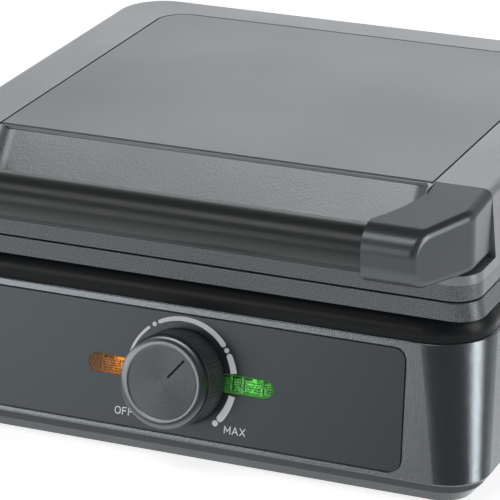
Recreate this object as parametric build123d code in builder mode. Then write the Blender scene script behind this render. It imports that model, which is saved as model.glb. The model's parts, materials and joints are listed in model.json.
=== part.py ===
from build123d import *
import os
from math import atan2, cos, degrees, radians, sin, tan
from typing import NamedTuple

# Donut maker: a hinged contact cooker with four donut moulds in each half.
# Frame: millimetres, +Z up, +X to the user's right, the dial faces -Y.
# The origin is the centre of the bounding box's underside, on the table.

os.makedirs("parts", exist_ok=True)

# ---------------------------------------------------------------- heights
PAN_LOW = 2.0
PAN_EDGE = 8.0
SHELL_LOW = 12.4
SHELL_TOP = 74.2
RIM_LOW = 86.0
PARTING = 95.0
PARTING_GAP = 0.6
RIM_TOP = PARTING - PARTING_GAP / 2
LID_RIM_LOW = PARTING + PARTING_GAP / 2
LID_RIM_TOP = 103.0
LID_TOP = 139.4

# ---------------------------------------------------------------- plan
SHELL_HALF_LOW = 147.0
SHELL_HALF_TOP = 141.8
SHELL_BACK_LOW = 138.6
SHELL_BACK_TOP = 133.0
WALL = 3.0
BODY_FRONT = -112.5
BODY_BACK = 130.5
RIM_HALF_LOW = 140.3
RIM_HALF_TOP = 138.8
RIM_CORNER = 12.5
REAR_CORNER = 21.0

# ---------------------------------------------------------------- control panel
PANEL_TILT = 13.5
PANEL_Y = -122.0
PANEL_Z = 42.0
PANEL_HALF_LOW = 110.9
PANEL_HALF_HIGH = 108.3
PANEL_LOW = -27.4
PANEL_HIGH = 29.3
PANEL_CORNER = 6.0
PANEL_THICK = 1.6
SHELL_FRONT_LOW = PANEL_Y - (PANEL_Z - SHELL_LOW) * tan(radians(PANEL_TILT))
SHELL_FRONT_TOP = PANEL_Y + (SHELL_TOP - PANEL_Z) * tan(radians(PANEL_TILT))
PANEL_GAP = 0.5
LENS_IN = 17.5
LENS_OUT = 46.5
LENS_HEIGHT = 8.5
LENS_RISE = 0.5
FIT_GAP = 0.15

# ---------------------------------------------------------------- dial
KNOB_R = 22.0
KNOB_SPREAD = 0.8
KNOB_FACE = 20.4
KNOB_DISC = 20.15
KNOB_LIFT = 1.2
POINTER_ANGLE = 40.0
FLUTES = 72
FLUTE_R = 1.0
FLUTE_DEPTH = 0.25
SHAFT_R = 3.0
SHAFT_PLAY = 0.05

# ---------------------------------------------------------------- donut moulds
PLATE_Y = 8.0
PLATE_HALF = 129.0
PLATE_DEPTH_HALF = 110.2
PLATE_THICK = 4.2
DONUT_R = 31.0
DONUT_HALF_WIDTH = 17.0
DONUT_DEPTH = 15.0
CAST_WALL = 3.0
DONUT_SPACE_X = 116.0
DONUT_SPACE_Y = 106.0
ELEMENT_R = 3.3
LOOP_HALF_X = 80.0
LOOP_HALF_Y = 75.0

# ---------------------------------------------------------------- lid
LID_HALF_LOW = 138.8
LID_HALF_TOP = 136.0
LID_BACK_LOW = 131.0
LID_BACK_TOP = 128.0
LID_FRONT_CORNER = 13.0
LID_BACK_CORNER = 25.0
SLOPE_FOOT_Y = -111.0
SLOPE_TOP_Y = -84.8
SLOPE_TOP_Z = 137.2
INSET_HALF = 108.6
INSET_BACK = 106.3
INSET_CORNER = 14.0
GROOVE = 1.0
INSET_THICK = 2.2

# ---------------------------------------------------------------- handle
BAR_R = 11.0
BAR_Y = -127.5
BAR_Z = 121.7
ARM_END = 95.5
ARM_INNER = 109.9
ARM_OUTER = 136.3
ARM_BACK = -83.2
ARM_FRONT = -139.4
ARM_NOSE = 134.1
ARM_LOW = 107.8
ARM_GAP = 0.4
CORE_R = 6.0

# ---------------------------------------------------------------- hinges
HINGE_Y = 139.3
HINGE_Z = PARTING
HINGE_X = 75.0
KNUCKLE_R = 7.0
KNUCKLE_WIDTH = 14.0
HINGE_PLAY = 0.4
BRACKET_WIDTH = 34.0
BRACKET_SCREW = 12.0
PIN_R = 2.5
PIN_PLAY = 0.05


class Level(NamedTuple):
    """A rounded rectangle at one height, symmetrical about the YZ plane."""

    z: float
    front: float
    back: float
    half: float
    front_corner: float
    back_corner: float

    def inset(self, wall, z=None):
        height = self.z if z is None else z
        sides = (self.front + wall, self.back - wall, self.half - wall)
        corners = (max(corner - wall, 1.0) for corner in self[4:])
        return Level(height, *sides, *corners)


def outline(level):
    """The level's face, at its height."""
    with BuildSketch(Plane.XY.offset(level.z)) as face:
        with Locations((0, (level.front + level.back) / 2)):
            Rectangle(2 * level.half, level.back - level.front)
        fillet(face.vertices().group_by(Axis.Y)[0], level.front_corner)
        fillet(face.vertices().group_by(Axis.Y)[-1], level.back_corner)
    return face.sketch


def between(low, high, z):
    """The level at height z on the straight walls from low to high."""
    share = (z - low.z) / (high.z - low.z)
    return Level(z, *(a + (b - a) * share for a, b in zip(low[1:], high[1:])))


def block(low, high):
    """The solid with straight walls from the low level up to the high one."""
    with BuildPart() as solid:
        loft(sections=[outline(low), outline(high)], ruled=True)
    return solid.part


def save(part, name):
    part.label = name
    export_step(part, f"parts/{name}.step")


def panel_plane(height=0.0):
    """The plane of the control panel's face, raised along its outward normal."""
    normal = (0, -cos(radians(PANEL_TILT)), sin(radians(PANEL_TILT)))
    return Plane(origin=(0, PANEL_Y, PANEL_Z), x_dir=(1, 0, 0), z_dir=normal).offset(height)


SHELL_BOTTOM = Level(SHELL_LOW, SHELL_FRONT_LOW, SHELL_BACK_LOW, SHELL_HALF_LOW, 20.0, 20.0)
SHELL_UPPER = Level(SHELL_TOP, SHELL_FRONT_TOP, SHELL_BACK_TOP, SHELL_HALF_TOP, 27.0, 27.0)
RIM_BOTTOM = Level(RIM_LOW, BODY_FRONT, BODY_BACK, RIM_HALF_LOW, RIM_CORNER, REAR_CORNER)
RIM_UPPER = RIM_BOTTOM._replace(z=RIM_TOP, half=RIM_HALF_TOP)
LID_CORNERS = (LID_FRONT_CORNER, LID_BACK_CORNER)
LID_BOTTOM = Level(LID_RIM_TOP, BODY_FRONT, LID_BACK_LOW, LID_HALF_LOW, *LID_CORNERS)
LID_UPPER = Level(LID_TOP, BODY_FRONT, LID_BACK_TOP, LID_HALF_TOP, *LID_CORNERS)
DONUTS = [
    (x * DONUT_SPACE_X / 2, PLATE_Y + y * DONUT_SPACE_Y / 2) for x in (-1, 1) for y in (-1, 1)
]
PLATE_BOSSES = [(0, PLATE_Y - 62.0), (0, PLATE_Y + 62.0), (-94.0, PLATE_Y), (94.0, PLATE_Y)]
SHELL_BOSSES = [(x * 131.0, y) for x in (-1, 1) for y in (-82.0, 100.0)]
LID_BOSSES = [(x * 133.2, y) for x in (-1, 1) for y in (-66.0, 90.0)]
FEET = {
    "foot_front_left": (-126.0, -108.0),
    "foot_front_right": (126.0, -108.0),
    "foot_rear_left": (-126.0, 118.0),
    "foot_rear_right": (126.0, 118.0),
}
BOSS_R = 4.5
SCREW_R = 1.7
SCREW_HEAD_R = 3.2
SCREW_HEAD = 2.2
SPIGOT_HOLE_R = 5.0
LAMP_X = 32.0


# ================================================================ base

def lens_slots(plane, gap, depth):
    """The two stadium slots either side of the dial, cut from a face inwards."""
    length = LENS_OUT - LENS_IN + 2 * gap
    middle = (LENS_OUT + LENS_IN) / 2
    with BuildPart() as slots:
        with BuildSketch(plane):
            with Locations((-middle, LENS_RISE), (middle, LENS_RISE)):
                SlotOverall(length, LENS_HEIGHT + 2 * gap)
        extrude(amount=-depth)
    return slots.part


def panel_outline(plane, gap):
    """The control panel's rounded outline, a little narrower on top, grown by a gap."""
    low = PANEL_LOW - gap
    high = PANEL_HIGH + gap
    wide = PANEL_HALF_LOW + gap
    narrow = PANEL_HALF_HIGH + gap
    with BuildSketch(plane) as face:
        with BuildLine():
            Polyline((-wide, low), (wide, low), (narrow, high), (-narrow, high), close=True)
        make_face()
        fillet(face.vertices(), PANEL_CORNER + gap)
    return face.sketch


def screw_points():
    """Where the thermostat's two fixing screws pass the panel, under the dial."""
    return Locations((-11.0, 0), (11.0, 0))


def make_base_shell():
    inner_top = between(SHELL_BOTTOM, SHELL_UPPER, SHELL_TOP - WALL).inset(WALL)
    opening = RIM_BOTTOM.inset(13.5, SHELL_TOP - 2 * WALL)
    with BuildPart() as shell:
        add(block(SHELL_BOTTOM, SHELL_UPPER))
        fillet(shell.edges().group_by(Axis.Z)[-1], 1.0)
        fillet(shell.edges().group_by(Axis.Z)[0], 0.8)
        add(block(SHELL_BOTTOM.inset(WALL), inner_top), mode=Mode.SUBTRACT)
        add(block(opening, opening._replace(z=SHELL_TOP)), mode=Mode.SUBTRACT)
        with BuildSketch(Plane.XY.offset(PAN_LOW + 2.5)):
            with Locations(*SHELL_BOSSES):
                Circle(BOSS_R)
        extrude(amount=SHELL_TOP - WALL / 2 - PAN_LOW - 2.5)
        with BuildSketch(Plane.XY.offset(PAN_LOW + 2.5)):
            with Locations(*SHELL_BOSSES):
                Circle(SCREW_R)
        extrude(amount=18.0, mode=Mode.SUBTRACT)
        recess = panel_outline(panel_plane(-PANEL_THICK), PANEL_GAP)
        extrude(recess, amount=2 * PANEL_THICK, mode=Mode.SUBTRACT)
        add(lens_slots(panel_plane(), FIT_GAP, 3 * WALL), mode=Mode.SUBTRACT)
        with BuildSketch(panel_plane()):
            Circle(SPIGOT_HOLE_R)
            with screw_points():
                Circle(SCREW_R)
        extrude(amount=-3 * WALL, mode=Mode.SUBTRACT)
        with BuildSketch(rear_plane(GLAND_X, GLAND_Z)):
            Circle(GLAND_NECK_R)
        extrude(amount=-3 * WALL, mode=Mode.SUBTRACT)
        for plane in bracket_screw_planes():
            with BuildSketch(plane):
                Circle(SCREW_R)
            extrude(amount=2 * WALL, both=True, mode=Mode.SUBTRACT)
    save(shell.part, "base_shell")


def make_control_panel():
    with BuildPart() as panel:
        extrude(panel_outline(panel_plane(), 0), amount=-PANEL_THICK)
        chamfer(panel.faces().sort_by(panel_axis())[-1].edges(), 0.35)
        add(lens_slots(panel_plane(), FIT_GAP, PANEL_THICK), mode=Mode.SUBTRACT)
        with BuildSketch(panel_plane()):
            Circle(SPIGOT_HOLE_R)
            with screw_points():
                Circle(SCREW_R)
        extrude(amount=-PANEL_THICK, mode=Mode.SUBTRACT)
    save(panel.part, "control_panel")


def make_base_collar():
    """The dark band between shell and rim, rounded in towards the rim."""
    foot = SHELL_UPPER.inset(0.8)
    opening = RIM_BOTTOM.inset(13.5, SHELL_TOP)
    with BuildPart() as collar:
        add(block(foot, foot._replace(z=RIM_LOW)))
        fillet(collar.edges().group_by(Axis.Z)[-1], 8.0)
        add(block(opening, opening._replace(z=RIM_LOW)), mode=Mode.SUBTRACT)
    save(collar.part, "base_collar")


def make_base_rim():
    """The frame that holds the lower plate on a ledge."""
    seat = Level(RIM_TOP - PLATE_THICK, *plate_plan(0.3))
    opening = seat.inset(4.3, RIM_LOW)
    with BuildPart() as rim:
        add(block(RIM_BOTTOM, RIM_UPPER))
        fillet(rim.edges().group_by(Axis.Z)[-1], 0.6)
        add(block(seat, seat._replace(z=RIM_TOP)), mode=Mode.SUBTRACT)
        add(block(opening, opening._replace(z=RIM_TOP)), mode=Mode.SUBTRACT)
    save(rim.part, "base_rim")


def make_bottom_pan():
    low = Level(PAN_LOW, -121.7, 131.0, 138.2, 14.0, 14.0)
    edge = Level(PAN_EDGE, -126.0, 135.5, 143.2, 17.5, 17.5)
    lip = edge._replace(z=SHELL_LOW)
    floor = 2.5
    with BuildPart() as pan:
        add(block(low, edge))
        add(block(edge, lip))
        add(block(low.inset(floor, PAN_LOW + floor), edge.inset(floor)), mode=Mode.SUBTRACT)
        add(block(edge.inset(floor), lip.inset(floor)), mode=Mode.SUBTRACT)
        with BuildSketch(Plane.XY.offset(PAN_LOW)):
            with GridLocations(120.0, 12.0, 2, 9):
                SlotOverall(70.0, 4.0)
            with Locations(*SHELL_BOSSES):
                Circle(SCREW_R)
            with Locations(*FEET.values()):
                Circle(FOOT_STEM_R)
        extrude(amount=floor, mode=Mode.SUBTRACT)
        with BuildSketch(Plane.XY.offset(PAN_LOW)):
            with Locations(*SHELL_BOSSES):
                Circle(SCREW_HEAD_R + 0.2)
        extrude(amount=PAN_SCREW_SINK, mode=Mode.SUBTRACT)
    save(pan.part, "bottom_pan")


PAN_SCREW_SINK = 1.2
FOOT_R = 8.0
FOOT_STEM_R = 2.5


def make_feet():
    for name, place in FEET.items():
        with BuildPart() as foot:
            with BuildSketch(Plane.XY):
                with Locations(place):
                    Circle(FOOT_R)
            extrude(amount=PAN_LOW)
            fillet(foot.edges().group_by(Axis.Z)[0], 0.6)
            with BuildSketch(Plane.XY.offset(PAN_LOW)):
                with Locations(place):
                    Circle(FOOT_STEM_R)
            extrude(amount=5.0)
        save(foot.part, name)


def screws(planes, shank, name):
    """Cross-head screws. Each plane is under one head and faces along its shank."""
    with BuildPart() as group:
        for plane in planes:
            with BuildSketch(plane):
                Circle(SCREW_HEAD_R)
            extrude(amount=-SCREW_HEAD)
            with BuildSketch(plane):
                Circle(SCREW_R)
            extrude(amount=shank)
            with BuildSketch(plane.offset(-SCREW_HEAD)):
                Rectangle(4.0, 0.9)
                Rectangle(0.9, 4.0)
            extrude(amount=1.2, mode=Mode.SUBTRACT)
    save(group.part, name)


def upright_planes(points, z, up):
    """Level planes at one height, facing up for 1 and down for -1."""
    return [Plane((x, y, z), x_dir=(1, 0, 0), z_dir=(0, 0, up)) for x, y in points]


# ---------------------------------------------------------------- cord inlet
GLAND_X = 92.0
GLAND_Z = 30.0
GLAND_NECK_R = 6.0
GLAND_FLANGE_R = 9.0
CORD_R = 3.5


def rear_plane(x, z):
    """The plane of the shell's sloping rear wall, at one point, facing out."""
    lean = (SHELL_BACK_LOW - SHELL_BACK_TOP) / (SHELL_TOP - SHELL_LOW)
    y = SHELL_BACK_LOW - (z - SHELL_LOW) * lean
    return Plane(origin=(x, y, z), x_dir=(-1, 0, 0), z_dir=(0, 1, lean))


def bracket_screw_planes():
    """The inner face of the rear wall, at the four screws of the hinge brackets."""
    spots = [side * HINGE_X + shift for side in (-1, 1) for shift in (-10.0, 10.0)]
    return [rear_plane(x, 65.0).offset(-WALL) for x in spots]


def make_cord_gland():
    outside = rear_plane(GLAND_X, GLAND_Z)
    with BuildPart() as gland:
        with BuildSketch(outside):
            Circle(GLAND_FLANGE_R)
        extrude(amount=2.0)
        with BuildSketch(outside.offset(2.0)):
            Circle(GLAND_NECK_R)
        extrude(amount=5.0, taper=6)
        with BuildSketch(outside):
            Circle(GLAND_NECK_R)
        extrude(amount=-WALL)
        with BuildSketch(outside.offset(-WALL)):
            Circle(GLAND_FLANGE_R - 1.5)
        extrude(amount=-2.0)
        with BuildSketch(outside.offset(-2 * WALL)):
            Circle(CORD_R)
        extrude(amount=20.0, mode=Mode.SUBTRACT)
    save(gland.part, "cord_gland")


def make_terminal_block():
    """Three-way screw terminal, standing on the pan by the cord inlet."""
    with BuildPart() as terminal:
        with BuildSketch(Plane.XY.offset(PAN_LOW + 2.5)):
            with Locations((GLAND_X - 30.0, 112.0)):
                Rectangle(34.0, 18.0)
        extrude(amount=12.0)
        with BuildSketch(Plane.XY.offset(PAN_LOW + 14.5)):
            with Locations((GLAND_X - 30.0, 112.0)):
                with GridLocations(11.0, 9.0, 3, 2):
                    Circle(2.2)
        extrude(amount=-5.0, mode=Mode.SUBTRACT)
    save(terminal.part, "terminal_block")


# ---------------------------------------------------------------- controls
THERMOSTAT_R = 13.0
THERMOSTAT_LENGTH = 16.0
EAR_THICK = 1.2


def make_thermostat():
    """Dial thermostat: eared mounting plate, round body and a bored neck."""
    with BuildPart() as thermostat:
        with BuildSketch(panel_plane(-WALL)):
            SlotOverall(32.0, 16.0)
        extrude(amount=-EAR_THICK)
        with BuildSketch(panel_plane(-WALL - EAR_THICK)):
            Circle(THERMOSTAT_R)
        extrude(amount=-THERMOSTAT_LENGTH)
        with BuildSketch(panel_plane(-WALL)):
            Circle(SPIGOT_HOLE_R - 0.2)
        extrude(amount=WALL)
        with BuildSketch(panel_plane(-WALL - EAR_THICK - THERMOSTAT_LENGTH)):
            with GridLocations(10.0, 10.0, 2, 1):
                Rectangle(6.3, 0.8)
        extrude(amount=-7.0)
        with BuildSketch(panel_plane()):
            Circle(SHAFT_R + SHAFT_PLAY)
        extrude(amount=-WALL - 8.0, mode=Mode.SUBTRACT)
        with BuildSketch(panel_plane()):
            with screw_points():
                Circle(SCREW_R)
        extrude(amount=-WALL - 6.0, mode=Mode.SUBTRACT)
    save(thermostat.part, "thermostat")


def thermostat_screw_planes():
    """Under the two screw heads on the panel's face, facing into the base."""
    plane = panel_plane()
    return [Plane(plane.from_local_coords((x, 0, 0)), z_dir=-plane.z_dir) for x in (-11.0, 11.0)]


def make_lenses():
    length = LENS_OUT - LENS_IN
    for side, name in ((-1, "amber_lens"), (1, "green_lens")):
        with BuildPart() as lens:
            with BuildSketch(panel_plane(0.7)):
                with Locations((side * (LENS_OUT + LENS_IN) / 2, LENS_RISE)):
                    SlotOverall(length, LENS_HEIGHT)
            extrude(amount=-4.7)
            fillet(lens.faces().sort_by(panel_axis())[-1].edges(), 0.6)
            with BuildSketch(panel_plane(-WALL)):
                with Locations((side * (LENS_OUT + LENS_IN) / 2, LENS_RISE)):
                    SlotOverall(length + 3.0, LENS_HEIGHT + 3.0)
            extrude(amount=-1.0)
        save(lens.part, name)


def panel_axis():
    """The control panel's outward normal, through the dial's centre."""
    plane = panel_plane()
    return Axis(plane.origin, plane.z_dir)


def make_lamps():
    """A signal lamp behind each lens, and the bracket that carries both."""
    for side, name in ((-1, "amber_lamp"), (1, "green_lamp")):
        with BuildPart() as lamp:
            with BuildSketch(panel_plane(-14.0)):
                with Locations((side * LAMP_X, LENS_RISE)):
                    Circle(3.0)
            extrude(amount=9.0)
            fillet(lamp.faces().sort_by(panel_axis())[-1].edges(), 2.5)
        save(lamp.part, name)
    with BuildPart() as bracket:
        with BuildSketch(panel_plane(-14.0)):
            with Locations((-LAMP_X, LENS_RISE), (LAMP_X, LENS_RISE)):
                Rectangle(24.0, 14.0)
        extrude(amount=-1.5)
        with BuildSketch(panel_plane(-15.5)):
            with Locations((-LAMP_X, LENS_RISE - 6.0), (LAMP_X, LENS_RISE - 6.0)):
                Rectangle(24.0, 2.0)
        extrude(amount=11.5)
        with BuildSketch(panel_plane(-15.5)):
            with Locations((0, LENS_RISE - 15.0)):
                Rectangle(2 * LAMP_X + 24.0, 2.0)
            with Locations((-LAMP_X - 11.0, LENS_RISE - 9.5), (LAMP_X + 11.0, LENS_RISE - 9.5)):
                Rectangle(2.0, 11.0)
        extrude(amount=1.5)
    save(bracket.part, "lamp_bracket")


# ================================================================ dial
HUB_R = 6.0
SKIRT_WALL = 2.5
SKIRT_TOP = 15.9
CAP_R = 21.3
CAP_LOW = 16.4
CAP_EDGE = 19.5
DISC_R = 16.9


def make_knob():
    spread = KNOB_R + KNOB_SPREAD
    height = SKIRT_TOP - KNOB_LIFT
    with BuildPart() as grip:
        with BuildSketch(panel_plane(KNOB_LIFT)):
            Circle(spread)
            with PolarLocations(spread + FLUTE_R - FLUTE_DEPTH, FLUTES):
                Circle(FLUTE_R, mode=Mode.SUBTRACT)
        extrude(amount=height, taper=degrees(atan2(KNOB_SPREAD, height)))
        with BuildSketch(panel_plane(SKIRT_TOP)):
            Circle(KNOB_R)
        extrude(amount=CAP_LOW - SKIRT_TOP, taper=45)
        with BuildSketch(panel_plane(KNOB_LIFT)):
            Circle(KNOB_R - SKIRT_WALL)
        extrude(amount=CAP_LOW - KNOB_LIFT - SKIRT_WALL, mode=Mode.SUBTRACT)
        with BuildSketch(panel_plane(CAP_LOW - SKIRT_WALL)):
            Circle(HUB_R)
        extrude(amount=-CAP_LOW + SKIRT_WALL + 3.0)
        with BuildSketch(panel_plane(3.0)):
            Circle(SHAFT_R)
        extrude(amount=10.5, mode=Mode.SUBTRACT)
    save(grip.part, "knob_grip")

    centre = panel_plane()
    with BuildPart() as cap:
        with BuildSketch(Plane(centre.origin, x_dir=(1, 0, 0), z_dir=-centre.y_dir)):
            with BuildLine():
                Polyline((0, KNOB_DISC), (0, CAP_LOW), (CAP_R, CAP_LOW), (CAP_R, CAP_EDGE))
                ThreePointArc((CAP_R, CAP_EDGE), (CAP_R - 1.2, KNOB_FACE - 0.3), (DISC_R + 0.4, KNOB_FACE))
                Polyline((DISC_R + 0.4, KNOB_FACE), (DISC_R, KNOB_DISC), (0, KNOB_DISC))
            make_face()
        revolve(axis=Axis(centre.origin, centre.z_dir))
        with BuildSketch(pointer_plane()):
            pointer_line()
        extrude(amount=-0.4, mode=Mode.SUBTRACT)
    save(cap.part, "knob_cap")

    with BuildPart() as pointer:
        with BuildSketch(pointer_plane()):
            pointer_line()
        extrude(amount=-0.4)
    save(pointer.part, "knob_pointer")

    with BuildPart() as shaft:
        with BuildSketch(panel_plane(-WALL - 7.5)):
            Circle(SHAFT_R)
        extrude(amount=WALL + 7.5 + 13.5)
    save(shaft.part, "thermostat_shaft")


def pointer_plane():
    """The dial's face, turned clockwise so that +Y runs along the pointer."""
    face = panel_plane(KNOB_DISC)
    angle = radians(POINTER_ANGLE)
    x_dir = face.x_dir * cos(angle) - face.y_dir * sin(angle)
    return Plane(face.origin, x_dir=x_dir, z_dir=face.z_dir)


def pointer_line():
    with Locations((0, 9.6)):
        SlotOverall(12.0, 1.1, rotation=90)


# ================================================================ moulds

def plate_plan(gap):
    """Front, back, half width and corners of the mould plates, grown by a gap."""
    front = PLATE_Y - PLATE_DEPTH_HALF - gap
    back = PLATE_Y + PLATE_DEPTH_HALF + gap
    return front, back, PLATE_HALF + gap, 11.0 + gap, 11.0 + gap


def trough(half_width, depth, plane):
    """A half round ring, the shape of half a donut, hanging from a plane."""
    with BuildPart() as half_ring:
        with BuildSketch(Plane(plane.origin, x_dir=(1, 0, 0), z_dir=(0, -1, 0))):
            with BuildLine():
                down = -depth * plane.z_dir.Z
                start = (DONUT_R - half_width, 0)
                end = (DONUT_R + half_width, 0)
                ThreePointArc(start, (DONUT_R, down), end)
                Line(end, start)
            make_face()
        revolve(axis=Axis(plane.origin, (0, 0, 1)))
    return half_ring.part


def make_mould(side, name):
    """One die-cast plate. side is 1 for the upper half, -1 for the lower one."""
    face = LID_RIM_LOW if side > 0 else RIM_TOP
    away = Plane.XY.offset(face)
    level = Level(face, *plate_plan(0))
    with BuildPart() as plate:
        extrude(outline(level), amount=side * PLATE_THICK)
        for x, y in DONUTS:
            plane = Plane((x, y, face), x_dir=(1, 0, 0), z_dir=(0, 0, -side))
            add(trough(DONUT_HALF_WIDTH + CAST_WALL, DONUT_DEPTH + CAST_WALL, plane))
        for x, y in DONUTS:
            plane = Plane((x, y, face), x_dir=(1, 0, 0), z_dir=(0, 0, -side))
            add(trough(DONUT_HALF_WIDTH, DONUT_DEPTH, plane), mode=Mode.SUBTRACT)
        with BuildSketch(away.offset(side * PLATE_THICK)):
            with Locations(*PLATE_BOSSES):
                Circle(4.0)
        extrude(amount=side * (TRAY_FLOOR - PLATE_THICK))
        with BuildSketch(away.offset(side * TRAY_FLOOR)):
            with Locations(*PLATE_BOSSES):
                Circle(SCREW_R)
        extrude(amount=-side * 12.0, mode=Mode.SUBTRACT)
    save(plate.part, name)


TRAY_FLOOR = 25.7
TRAY_DEPTH = 11.0
TRAY_SHEET = 0.8
ELEMENT_HEIGHT = DONUT_DEPTH + CAST_WALL + 0.2 + ELEMENT_R


def make_reflector(side, name):
    """Sheet tray behind the heating element, open towards the plate."""
    face = LID_RIM_LOW if side > 0 else RIM_TOP
    floor = face + side * TRAY_FLOOR
    plan = Level(floor, -91.0, 107.0, 106.0, 10.0, 10.0)
    with BuildPart() as tray:
        extrude(outline(plan), amount=side * TRAY_SHEET)
        extrude(outline(plan), amount=-side * TRAY_DEPTH)
        extrude(outline(plan.inset(TRAY_SHEET)), amount=-side * TRAY_DEPTH, mode=Mode.SUBTRACT)
        with BuildSketch(Plane.XY.offset(floor)):
            with Locations(*PLATE_BOSSES):
                Circle(SCREW_R)
        extrude(amount=side * TRAY_SHEET, mode=Mode.SUBTRACT)
    save(tray.part, name)


def make_element(side, name):
    """Tubular heater: one loop over the four ring crests, ends side by side."""
    face = LID_RIM_LOW if side > 0 else RIM_TOP
    z = face + side * ELEMENT_HEIGHT
    rear = PLATE_Y + LOOP_HALF_Y
    front = PLATE_Y - LOOP_HALF_Y
    end = 102.0
    points = [
        (-12.0, end, z),
        (-12.0, rear, z),
        (-LOOP_HALF_X, rear, z),
        (-LOOP_HALF_X, front, z),
        (LOOP_HALF_X, front, z),
        (LOOP_HALF_X, rear, z),
        (12.0, rear, z),
        (12.0, end, z),
    ]
    with BuildPart() as element:
        with BuildLine():
            FilletPolyline(*points, radius=9.0)
        with BuildSketch(Plane(origin=points[0], x_dir=(1, 0, 0), z_dir=(0, -1, 0))):
            Circle(ELEMENT_R)
        sweep()
    save(element.part, name)


def make_element_clips(side, name):
    """Saddles on the tray that carry the element."""
    face = LID_RIM_LOW if side > 0 else RIM_TOP
    z = face + side * ELEMENT_HEIGHT
    spots = [(x * LOOP_HALF_X, PLATE_Y + y) for x in (-1, 1) for y in (-28.0, 28.0)]
    with BuildPart() as clips:
        with BuildSketch(Plane.XY.offset(face + side * TRAY_FLOOR)):
            with Locations(*spots):
                Rectangle(12.0, 6.0)
        extrude(amount=-side * (TRAY_FLOOR - ELEMENT_HEIGHT))
        for x, y in spots:
            with BuildSketch(Plane((x, y, z), x_dir=(1, 0, 0), z_dir=(0, 1, 0))):
                Circle(ELEMENT_R)
            extrude(amount=6.0, both=True, mode=Mode.SUBTRACT)
    save(clips.part, name)


# ================================================================ lid

def slope_section(outward, reach):
    """A triangle on the line of the lid's sloping front, moved out by a distance."""
    rise = SLOPE_TOP_Z - LID_RIM_TOP
    run = SLOPE_TOP_Y - SLOPE_FOOT_Y
    length = (rise**2 + run**2) ** 0.5
    shift_y = -outward * rise / length
    shift_z = outward * run / length
    foot = (SLOPE_FOOT_Y - run + shift_y, LID_RIM_TOP - rise + shift_z)
    top = (SLOPE_TOP_Y + run + shift_y, SLOPE_TOP_Z + rise + shift_z)
    corner = (foot[0] + reach, top[1]) if reach < 0 else (top[0] + reach, foot[1])
    return Polyline(foot, top, corner, foot)


def slope_tool(outward, half, behind=False):
    """A prism of that space about the YZ plane, or of the space behind it."""
    with BuildPart() as tool:
        with BuildSketch(Plane.YZ):
            with BuildLine():
                slope_section(outward, 60.0 if behind else -60.0)
            make_face()
        extrude(amount=half, both=True)
    return tool.part


def make_lid_cover():
    blend = 9.0
    roof = LID_TOP - INSET_THICK - WALL
    low = LID_BOTTOM.inset(WALL)
    high = between(LID_BOTTOM, LID_UPPER, roof).inset(WALL)
    with BuildPart() as hollow:
        add(block(low, high))
        add(slope_tool(-WALL, 2 * LID_HALF_LOW), mode=Mode.SUBTRACT)
        for side in (-1, 1):
            add(arm_pocket(side, ARM_GAP + WALL), mode=Mode.SUBTRACT)

    with BuildPart() as scoop:
        add(slope_tool(0, ARM_INNER - 0.7))
        fillet([edge for edge in scoop.edges() if is_slope_end(edge)], blend)

    with BuildPart() as cover:
        add(block(LID_BOTTOM, LID_UPPER))
        fillet(cover.edges().group_by(Axis.Z)[-1], 4.0)
        add(hollow.part, mode=Mode.SUBTRACT)
        add(slope_tool(blend - 0.5, ARM_INNER - ARM_GAP), mode=Mode.SUBTRACT)
        add(scoop.part, mode=Mode.SUBTRACT)
        for side in (-1, 1):
            add(arm_pocket(side, ARM_GAP), mode=Mode.SUBTRACT)
        extrude(inset_face(LID_TOP, GROOVE / 2), amount=-INSET_THICK, mode=Mode.SUBTRACT)
        with BuildSketch(Plane.XY.offset(LID_RIM_TOP)):
            with Locations(*LID_BOSSES):
                Circle(3.6)
        extrude(amount=20.0)
        with BuildSketch(Plane.XY.offset(LID_RIM_TOP)):
            with Locations(*LID_BOSSES):
                Circle(SCREW_R)
        extrude(amount=14.0, mode=Mode.SUBTRACT)
        for plane in arm_screw_planes():
            with BuildSketch(plane):
                Circle(SCREW_R)
            extrude(amount=2 * WALL, both=True, mode=Mode.SUBTRACT)
    save(cover.part, "lid_cover")


def is_slope_end(edge):
    """True for the two edges where the sloping face meets the prism's ends."""
    start = edge @ 0
    end = edge @ 1
    run = SLOPE_TOP_Y - SLOPE_FOOT_Y
    rise = SLOPE_TOP_Z - LID_RIM_TOP
    along = abs((end.Y - start.Y) * rise - (end.Z - start.Z) * run) < 1.0
    return along and abs(end.X - start.X) < 0.01 and abs(end.Z - start.Z) > 1.0


def arm_pocket(side, gap):
    """The room that a handle arm takes from the lid's front corner."""
    x = side * (ARM_INNER - gap)
    back = ARM_BACK + gap
    z = ARM_LOW - gap
    with BuildPart() as pocket:
        with BuildSketch(Plane.XY.offset(z)):
            with Locations((x + side * 30.0, back - 40.0)):
                Rectangle(60.0, 80.0)
        extrude(amount=LID_TOP - z + 1.0)
    return pocket.part


def arm_screw_planes():
    """Inside the lid, on the walls behind the handle arms, facing forward."""
    y = ARM_BACK + ARM_GAP + WALL
    spots = [(side * 123.0, z) for side in (-1, 1) for z in (114.0, 129.0)]
    return [Plane((x, y, z), x_dir=(1, 0, 0), z_dir=(0, -1, 0)) for x, z in spots]


def inset_face(z, grow):
    """The lid's smooth inset: square in front, rounded at the back corners."""
    front = SLOPE_TOP_Y - 1.0 if grow > 0 else SLOPE_TOP_Y
    back = INSET_BACK + grow
    half = INSET_HALF + grow
    with BuildSketch(Plane.XY.offset(z)) as face:
        with Locations((0, (front + back) / 2)):
            Rectangle(2 * half, back - front)
        fillet(face.vertices().group_by(Axis.Y)[-1], INSET_CORNER + grow)
    return face.sketch


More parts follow.
